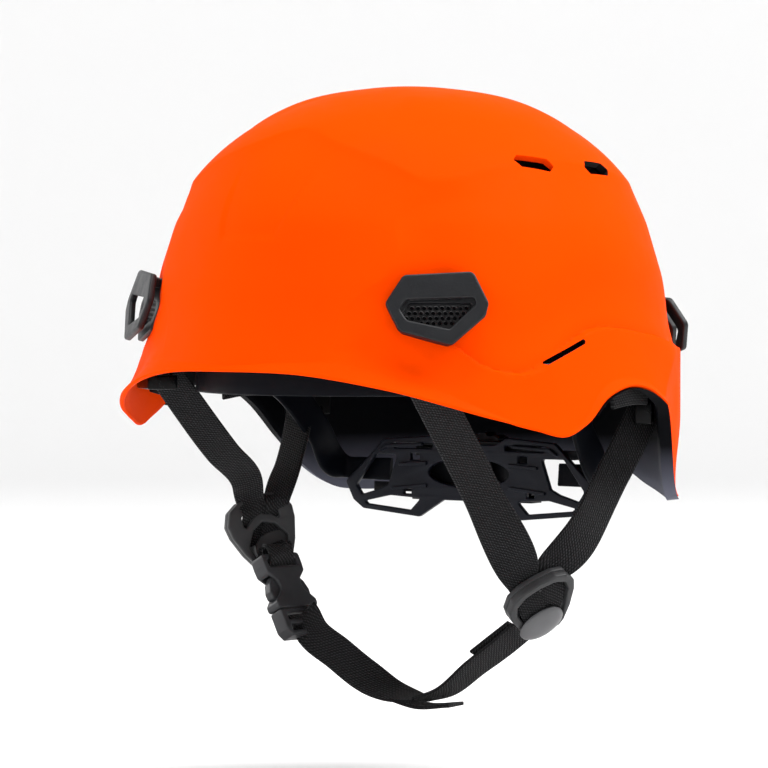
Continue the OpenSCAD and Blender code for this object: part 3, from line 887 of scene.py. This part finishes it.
def facing(points, looks, width=WEB_WIDTH):
    """Rows of a strap whose face looks along an azimuth, or an (azimuth, rise) pair, point by point."""
    points = np.array(points, float)
    along = unit(np.gradient(points, axis=0))
    rows, previous = [], None
    for point, direction, aim in zip(points, along, looks):
        azimuth, rise = (math.radians(a) for a in (aim if isinstance(aim, tuple) else (aim, 0)))
        flat = math.cos(rise)
        outward = np.array([math.sin(azimuth) * flat, -math.cos(azimuth) * flat, math.sin(rise)])
        previous = toward(previous, np.cross(direction, outward))
        rows.append((*point, *previous, width if np.isscalar(width) else width[len(rows)]))
    return rows


def rolled(points, rolls):
    """Rows of a chin run: each point turns the strip by a roll about its own direction."""
    points = np.array(points, float)
    along = unit(np.gradient(points, axis=0))
    rows = []
    for point, (x, y, z), roll in zip(points, along, rolls):
        phi, theta, turn = math.atan2(y, x), math.acos(z), math.radians(roll)
        side = np.array([math.cos(theta) * math.cos(phi), math.cos(theta) * math.sin(phi), -math.sin(theta)])
        level = np.array([-math.sin(phi), math.cos(phi), 0])
        rows.append((*point, *(math.cos(turn) * level - math.sin(turn) * side), WEB_WIDTH))
    return rows


def local_rows(place, previous, points):
    """Rows in a fitting's own frame: x, y, z and width, the strip lying across the fitting's X."""
    axis = toward(previous, np.array(place.to_3x3().col[0]))
    return [(*at(place, point[:3]), *axis, point[3]) for point in points]


PLACE_LEFT = moved(68.8, 1.7, -102.7) @ turned(133, -27, 51)
PLACE_RIGHT = moved(-64, -11.8, -82.2) @ turned(100, 17, -119)
BUCKLE = moved(-47.8, -20.8, -99.5) @ turned(0, 0, -8) @ turned(0, -28, 0) @ turned(0, 0, 90)


def web(name, rows, node, **settings):
    stands_for(ribbon(name, rows, WEB_THICK, "webbing", **settings), node)


def v_straps():
    runs = {
        "strap_front_left": (facing([[68, -90.6, 8], [68.5, -46.5, -43.4], [73, -24, -79]],
                                    [32, 35, 38], 16.8),
                             PLACE_LEFT, [(-4.8, 30.5, -4.1, 14), (-5.2, 25, -1, 12), (-4.8, 17, 1.7, 11.5),
                                          (-3.8, 8, 1.7, 10)]),
        "strap_rear_left": (facing([[90, 55, -4], [88.8, 26.5, -36], [82.5, -9.5, -74]], [50, 48, 46], 15.4),
                            PLACE_LEFT, [(8.8, 30, -4.4, 14), (7.2, 24.5, -1.4, 12.5), (5.4, 17, 0.6, 12),
                                         (2.4, 8, 0.5, 10)]),
        "strap_front_right": (facing([[-67, -90.5, 8], [-64.5, -50.5, -29.5], [-67.5, -29, -42.8],
                                      [-71.3, -21, -52.6]], [22, 25, 30, 40], [15, 15, 14, 12.5]),
                              PLACE_RIGHT, [(2.6, 28, -4.1, 11.5), (3.4, 23.4, -1, 10.5),
                                            (3.6, 18, 1.7, 10.5), (3, 13, 1.8, 10)]),
        "strap_rear_right": (facing([[-88.5, 42.5, 0], [-79, 25.3, -20], [-71.5, 8.5, -35.5],
                                     [-65.6, -7.5, -48.5]], [8, 10, 14, 24], [14.6, 14.6, 13.5, 12.5]),
                             PLACE_RIGHT, [(-8.6, 27.6, -4.4, 11.5), (-7, 23, -1.4, 11), (-5.4, 18, 0.6, 11),
                                           (-3, 13, 0.8, 10)]),
    }
    for node, (rows, place, ending) in runs.items():
        rows = rows + local_rows(place, np.array(rows[-1][3:6]), ending)
        web(node + "_web", rows, node)
    for side, sign in SIDES.items():
        points = [(x * sign, y, z) for x, y, z in ARCH_STRAP]
        web(f"arch_web_{side}", facing(points, [84 * sign] * 3, 12), f"arch_strap_{side}")


ARCH_STRAP = [(100.4, 33, -2), (102.5, 17, -1.6), (103, 1, -3)]
CHIN_RIGHT = [[-42.2, -21.6, -101.2], [-37.9, -21, -108.5], [-26, -17.5, -118], [-14, -15.5, -126.4],
              [-1.5, -13.5, -132.8], [12, -11.5, -135.9]]
CHIN_LEFT = [[13.4, -11.4, -136.1], [24.5, -10, -132.6], [39.5, -8, -121.2], [52, -5, -111.6],
             [60, -2.5, -104.6]]


def chin_straps():
    run = facing(CHIN_RIGHT, [(35, 0), (35, 0), (35, 4), (35, 16), (35, 55), (35, 84)])
    start = local_rows(BUCKLE, np.array(run[0][3:6]), [(0, 0.6, -4, 14.6), (0, -2.6, -3.9, 15)])
    web("chin_web_right", start + run, "chin_strap_right")
    run = rolled(CHIN_LEFT, [-8, -14, -24, -30, -32])
    end = local_rows(PLACE_LEFT, np.array(run[-1][3:6]), [(-3, 3, -2.6, 15), (-3, 11, -2.2, 15)])
    web("chin_web_left", run + end, "chin_strap_left")
    run = rolled([[2, -13, -135.9], [14, -11.5, -138.8], [30.5, -9.4, -137.6]], [2, 1, 0])
    web("tail_web_right", run, "strap_tail_right")
    ends = [np.array(CHIN_LEFT[2]) + (3, 0.6, 2.6), np.array(CHIN_LEFT[3]) + (2, 0.6, 2.2)]
    ends.append(ends[1] + (ends[1] - ends[0]) * 0.45)
    web("tail_web_left", rolled(ends, [-28] * 3), "strap_tail_left", lift=WEB_THICK + 1.2)


# ---------------------------------------------------------------- headlamp clips and grilles
CLIP_OUTLINE = [(-14, 13.5), (15, 15), (21, 1.5), (19.5, -4), (5, -16.5), (-16.5, -10.5), (-22, 1.5)]
CLIP_WINDOW = [(-13, 3), (15, 3.8), (15.5, 1), (4.4, -9.6), (-13, -5.7), (-16, -1)]
CLIP_GAP = 4.2
CLIP_THICK = 2.6
BASE_SCALE = 0.93


def both_sides(half):
    """A closed outline from the half with positive x; a point on the middle line is not repeated."""
    return half + [(-p[0], *p[1:]) for p in half[::-1] if p[0] > 0]


def mirror_x(outline):
    return [(-p[0], *p[1:]) for p in outline]


def clip(side, end):
    place = clip_place(side, end)
    ring = plate(f"clip_{end}_{side}", rounded(CLIP_OUTLINE, 3.2), [rounded(CLIP_WINDOW, 1.8)],
                 CLIP_GAP - 0.4, CLIP_GAP + CLIP_THICK, place, "clip_plastic", 0.95, 4)
    foot = plate("foot", rounded(box_outline(22, 8.5, 12.5), 1.0), [], -2.0, CLIP_GAP + 0.8, place,
                 "clip_plastic", 0.4)
    window = [rounded([(x, y - GRILLE_DROP) for x, y in grille_outline(0.6)], 1.0)] if end == "front" else []
    inset = [(x * BASE_SCALE, y * BASE_SCALE) for x, y in CLIP_OUTLINE]
    base = plate("base", rounded(inset, 3), window, -1.6, 0.9, place, "clip_plastic", 0.5)
    stands_for(joined([ring, foot, base]), f"lamp_clip_{end}_{side}")


GRILLE_PITCH = 2.5
GRILLE_CELL = 1.02


def vent_grille(side):
    """Honeycomb mesh behind a front clip, cut to the hole in the shell."""
    cells = []
    for row in range(-4, 5):
        for column in range(-7, 8):
            x = (column + 0.5 * (row % 2)) * GRILLE_PITCH
            y = row * GRILLE_PITCH * math.sqrt(0.75)
            if inside(grille_outline(2.0), x, y):
                ring = [(x + GRILLE_CELL * math.sin(u), y + GRILLE_CELL * math.cos(u))
                        for u in np.radians(np.arange(0, 360, 60))]
                cells.append(ring)
    place = clip_place(side, "front") @ moved(0, -GRILLE_DROP, 0)
    obj = plate(f"honeycomb_{side}", grille_outline(0.25), cells, -2.4, -1.0, place, "grille_plastic",
                0.12, 1)
    stands_for(obj, f"vent_grille_{side}")


def inside(outline, x, y):
    """Whether a point lies inside a polygon."""
    hit = False
    for i, (x1, y1) in enumerate(outline):
        x0, y0 = outline[i - 1]
        if (y0 > y) != (y1 > y) and x < (x1 - x0) * (y - y0) / (y1 - y0) + x0:
            hit = not hit
    return hit


# ---------------------------------------------------------------- strap dividers
DIVIDER_HALF = [(0, 33.4), (8, 32.6), (13.4, 29.8), (16.2, 24), (15.6, 18.5), (12.4, 9.5), (8.4, 2.2),
                (5.5, -0.2)]
RIM_OPENING = [(0, 30), (7.4, 29), (11.8, 25.6), (12.6, 20.5), (9.8, 11.4), (7.6, 5), (5.4, 2.6)]
BACK_SLOT = [(0, 29.4), (6.2, 28.4), (8.8, 25.8), (9, 21.6), (7.8, 20.8), (5, 23.4), (0, 25.4)]
BACK_OPENING = [(0, 21.2), (5.4, 18.8), (9.6, 12.4), (8.2, 7), (6, 2.6)]


CAP_MIDDLE = (-3, 9.2)
CAP_RINGS = ((0.9, 3.3), (1.0, 3.9), (0.985, 4.6), (0.93, 5.2), (0.8, 5.9), (0.6, 6.5), (0.35, 6.9),
             (0.1, 7.05))
CAP_COLUMNS = 48


def oval(middle, half_x, half_y, count):
    return [(middle[0] + half_x * math.cos(u), middle[1] + half_y * math.sin(u))
            for u in np.linspace(0, 2 * math.pi, count, endpoint=False)]


def divider(side, place):
    """Frame, slotted back plate and the domed cap's seat; the straps lie between the frame and the plate."""
    outline = rounded(both_sides(DIVIDER_HALF), 2.5)
    rim = plate(f"divider_{side}", outline, [rounded(both_sides(RIM_OPENING), 1.5)], -0.6, 3.2, place,
                "divider_plastic", 1.0, 4)
    openings = [rounded(both_sides(half), 1.2) for half in (BACK_SLOT, BACK_OPENING)]
    bar = plate("bar", outline, openings, -3.2, -0.3, place, "divider_plastic", 0.8, 3)
    seat = plate("seat", oval(CAP_MIDDLE, 9.4, 6.8, 39), [], -0.4, 3.6, place, "divider_plastic", 0.5, 2)
    stands_for(joined([rim, bar, seat]), f"strap_divider_{side}")
    verts = [at(place, (*point, height)) for reach, height in CAP_RINGS
             for point in oval(CAP_MIDDLE, 10.6 * reach, 8.0 * reach, CAP_COLUMNS)]
    faces = ring_faces(0, len(CAP_RINGS), CAP_COLUMNS)
    faces += [tuple(range(CAP_COLUMNS))[::-1], tuple(range(len(verts) - CAP_COLUMNS, len(verts)))]
    stands_for(mesh_piece(f"cap_{side}", verts, faces, "cap_plastic", 50), f"divider_cap_{side}")


# ---------------------------------------------------------------- side-release buckle
STANDING = turned(90, 0, 0)
SOCKET_HALF = [(12.2, 0), (12.3, 3.2), (10.2, 5.4), (7.2, 8), (6.6, 10.5), (7.3, 13.4), (11.4, 17),
               (11.7, 21), (11.5, 25.9)]
PLUG_OUTLINE = [(-11.75, -0.2), (11.75, -0.2), (11.75, -9.8), (9.4, -13), (-9.4, -13), (-11.75, -9.8)]
PRONG_OUTLINE = [(4.7, 0.15), (7.1, 0.15), (7.3, 4.8), (11.9, 5.2), (12.1, 8.6), (10.6, 12.6), (7.6, 16),
                 (5.2, 16)]


def buckle():
    place = BUCKLE @ STANDING
    slot = rounded(box_outline(17.6, 19.8, 23.4), 0.8)
    socket = plate("socket", rounded(both_sides(SOCKET_HALF), 2.0, 6), [slot], -4, 4, place,
                   "buckle_plastic", 0.8, 4)
    cut(socket, [prism(box_outline(20.4, -1, 17.2), -2.65, 2.65, place)])
    stands_for(finish_mesh(socket, 30), "buckle_socket")
    holes = [rounded(box_outline(17, -5.4, -2.4), 0.6), rounded(box_outline(17, -10.6, -7.8), 0.6)]
    plug = plate("plug", rounded(PLUG_OUTLINE, 1.2), holes, -3.7, 3.7, place, "buckle_plastic", 0.7, 3)
    guide = plate("guide", rounded(box_outline(2.4, -1, 9), 0.8), [], -1.8, 1.8, place,
                  "buckle_plastic", 0.3, 2)
    stands_for(joined([plug, guide]), "buckle_plug")
    for name, outline in (("rear", PRONG_OUTLINE), ("front", mirror_x(PRONG_OUTLINE))):
        prong = plate(f"prong_{name}", rounded(outline, 1.6, 6), [], -2.3, 2.3, place,
                      "buckle_plastic", 0.9, 4)
        stands_for(prong, f"buckle_prong_{name}")
    rows = [(0, 3.2, 27.6, 14), (0, 3.0, 24.5, 15), (0, 0.5, 22, 15), (0, -2.8, 22.2, 15),
            (0, -4.6, 24.6, 15), (0, -4.3, 28.5, 14.4)]
    axis = np.array(BUCKLE.to_3x3().col[0])
    line = [(*at(BUCKLE, row[:3]), *axis, row[3]) for row in rows]
    line += local_rows(PLACE_RIGHT, axis, [(-1, 7, -1.8, 13.5), (-1, 10.5, -0.4, 12.5)])
    web("buckle_web", line, "buckle_loop", step=0.8)


# ---------------------------------------------------------------- rear cradle and its arms
CRADLE = Matrix(((1, 0, 0, 0), (0, 0, 1, 45), (0, 1, 0, -40), (0, 0, 0, 1)))
WING = [(14, 12), (20.4, 15.4), (45.6, 13.5), (66.9, -6.2, 1.5), (62.6, -14.4), (57.2, -18.2),
        (26.6, -21.1), (13.5, -13.2)]
SIDE_WINDOW = [(50.2, 6.5), (38.6, 6.5), (43.3, -6.8), (47.9, -9), (58, -11.9), (61, -7.5)]
LOWER_WINDOW = [(56.4, -14.8), (42.5, -11.9), (25.8, -12.8), (31.3, -18.2), (54.9, -16)]
UPPER_SLOT = [(41, 12), (19, 12), (19.6, 9.6), (40, 9.4)]
SQUARE_HOLE = [(31.2, 7.4), (26.2, 7.4), (26.2, 4.4), (31.2, 4.4)]
SMALL_HOLE = [(35, -8.7), (30.8, -8.7), (30.8, -10.9), (35, -10.9)]
UPPER_LIP = ((24, 12.2), (44, 11.2), (47.5, 8.6), (47, 7.8), (43.5, 9.6), (24, 10.8))
STRUTS = (((22, 4), (37, 3), (37, 1.6), (22, 2.2)), ((22, -6), (41, -8), (41, -9.4), (22, -7.8)))


def cradle():
    holes = []
    for window, radius in ((SIDE_WINDOW, 1.5), (LOWER_WINDOW, 0.9), (UPPER_SLOT, 0.7), (SQUARE_HOLE, 0.5),
                           (SMALL_HOLE, 0.4)):
        holes.append(rounded(window, radius))
        holes.append(rounded(mirror_x(window), radius))
    holes.append(oval((0, -0.8), 21.6, 6.4, 47))
    ring = rounded(both_sides(WING), 2.5)
    parts = [plate("cradle_plate", ring, holes, 0, 2.6, CRADLE, "cradle_plastic", 0.6, 3)]
    for sign in (1, -1):
        lip = [(x * sign, y) for x, y in UPPER_LIP]
        parts.append(plate("lip", rounded(lip, 0.6), [], -1.6, 0.4, CRADLE, "cradle_plastic", 0.35, 2))
        for corners in STRUTS:
            strut = rounded([(x * sign, y) for x, y in corners], 0.4)
            parts.append(plate("strut", strut, [], -1.2, 0.4, CRADLE, "cradle_plastic", 0.3, 2))
    stands_for(joined(parts), "rear_cradle")
    refined("adjuster_cover", "wheel_plastic", 0.8, 3)
    refined("adjuster_wheel", "wheel_plastic", 0.7, 3)
    for node in ("drive_pinion", "rack_left", "rack_right"):
        refined(node, "gear_plastic", 0.15, 1)


SIDE_BAND = [(79, -14, 9), (77, 10, -1), (71, 30, -23), (70.4, 41.5, -37)]


def side_bands():
    for side, sign in SIDES.items():
        points = [(x * sign, y, z) for x, y, z in SIDE_BAND]
        rows = facing(points, [90 * sign] * 4, 16)
        tip = [(68.6, 48.6, -40), (62, 50.2, -40.4), (45, 50.2, -40.4)]
        rows += [(x * sign, y, z, 0, 0.1, 1, 10) for x, y, z in tip]
        obj = ribbon(f"side_band_arm_{side}", rows, 2.0, "band_plastic", corner=0.8)
        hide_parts(f"side_band_{side}")
        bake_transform(obj)


def brackets():
    """Strap brackets under the brim and over the ears, and the pockets behind the accessory slots."""
    for side in SIDES:
        place = sided(side, on_wall(38.2, 2, 0))
        ring = rounded(box_outline(20.8, -21, -7.8), 1.5)
        bar = plate(f"front_bracket_{side}", ring, [rounded(box_outline(17.4, -18.5, -9.8), 1)], -3, 3,
                    place @ turned(90, 0, 0) @ Matrix.Scale(-1, 4, (0, 0, 1)), "anchor_plastic", 0.8, 3)
        stands_for(bar, f"strap_anchor_front_{side}")
        refined(f"strap_anchor_rear_{side}", "anchor_plastic", 0.7, 3)
        refined(f"slot_box_{side}", "anchor_plastic", 0.5, 3)


shell()
crown_liner()
nape_liner()
headband()
brow_pad()
brackets()
v_straps()
chin_straps()
for side in SIDES:
    vent_grille(side)
    for end in ("front", "rear"):
        clip(side, end)
divider("left", PLACE_LEFT)
divider("right", PLACE_RIGHT)
buckle()
cradle()
side_bands()

# ---------------------------------------------------------------- camera, light and floor
CAMERA_AZIMUTH = 35.0
CAMERA_RISE = 1.8
CAMERA_DISTANCE = 2.0
CAMERA_SIDE_STEP = -0.01147
CAMERA_LENS = 215.0
FLOOR_LEVEL = -0.178


def camera():
    side, rise = math.radians(CAMERA_AZIMUTH), math.radians(CAMERA_RISE)
    back = Vector((math.sin(side) * math.cos(rise), -math.cos(side) * math.cos(rise), math.sin(rise)))
    right = Vector((math.cos(side), math.sin(side), 0))
    data = bpy.data.cameras.new("camera")
    data.lens = CAMERA_LENS
    obj = linked("camera", data)
    obj.location = back * CAMERA_DISTANCE + right * CAMERA_SIDE_STEP
    obj.rotation_euler = back.to_track_quat("Z", "Y").to_euler()
    bpy.context.scene.camera = obj


def floor():
    """A pale floor that curves up into a backdrop behind the helmet and round all its sides."""
    rows = [(r, 0.0) for r in (0.05, 0.4, 0.9, 1.6, 2.6)]
    rows += [(2.6 + 0.8 * math.sin(u), 0.8 - 0.8 * math.cos(u)) for u in np.linspace(0.15, math.pi / 2, 10)]
    rows += [(3.4, 2.5)]
    columns = 96
    verts = [(0, 0, FLOOR_LEVEL)]
    for r, z in rows:
        verts += [(r * math.cos(a), r * math.sin(a), FLOOR_LEVEL + z)
                  for a in np.linspace(0, 2 * math.pi, columns, endpoint=False)]
    faces = [(0, 1 + j, 1 + (j + 1) % columns) for j in range(columns)]
    faces += ring_faces(1, len(rows), columns, True)
    mesh = bpy.data.meshes.new("floor")
    mesh.from_pydata(verts, [], faces)
    mesh.shade_smooth()
    look = Look("floor_white", (0.91, 0.91, 0.91), 0.7, Specular_IOR_Level=0.1)
    obj = linked("floor", mesh)
    obj.data.materials.append(look.material)


LIGHT_SIZE = 1.2


def area_light(name, place, aim, power):
    data = bpy.data.lights.new(name, "AREA")
    data.shape = "DISK"
    data.size = LIGHT_SIZE
    data.energy = power
    obj = linked(name, data)
    obj.location = place
    obj.rotation_euler = (Vector(place) - Vector(aim)).to_track_quat("Z", "Y").to_euler()


def lights():
    world = bpy.data.worlds.new("studio")
    world.use_nodes = True
    world.node_tree.nodes["Background"].inputs["Color"].default_value = (1, 1, 1, 1)
    world.node_tree.nodes["Background"].inputs["Strength"].default_value = 0.44
    bpy.context.scene.world = world
    area_light("key", (1.2, 0.9, 1.7), (0, 0, 0.05), 50)
    area_light("overhead", (0.1, -0.1, 2.2), (0, 0, 0.0), 35)
    area_light("front_fill", (-0.4, -2.0, 0.5), (0, 0, 0.0), 7)
    area_light("side_fill", (-1.9, -0.4, 0.7), (0, 0, 0.02), 16)


camera()
lights()
floor()
bpy.context.scene.view_settings.view_transform = "Standard"
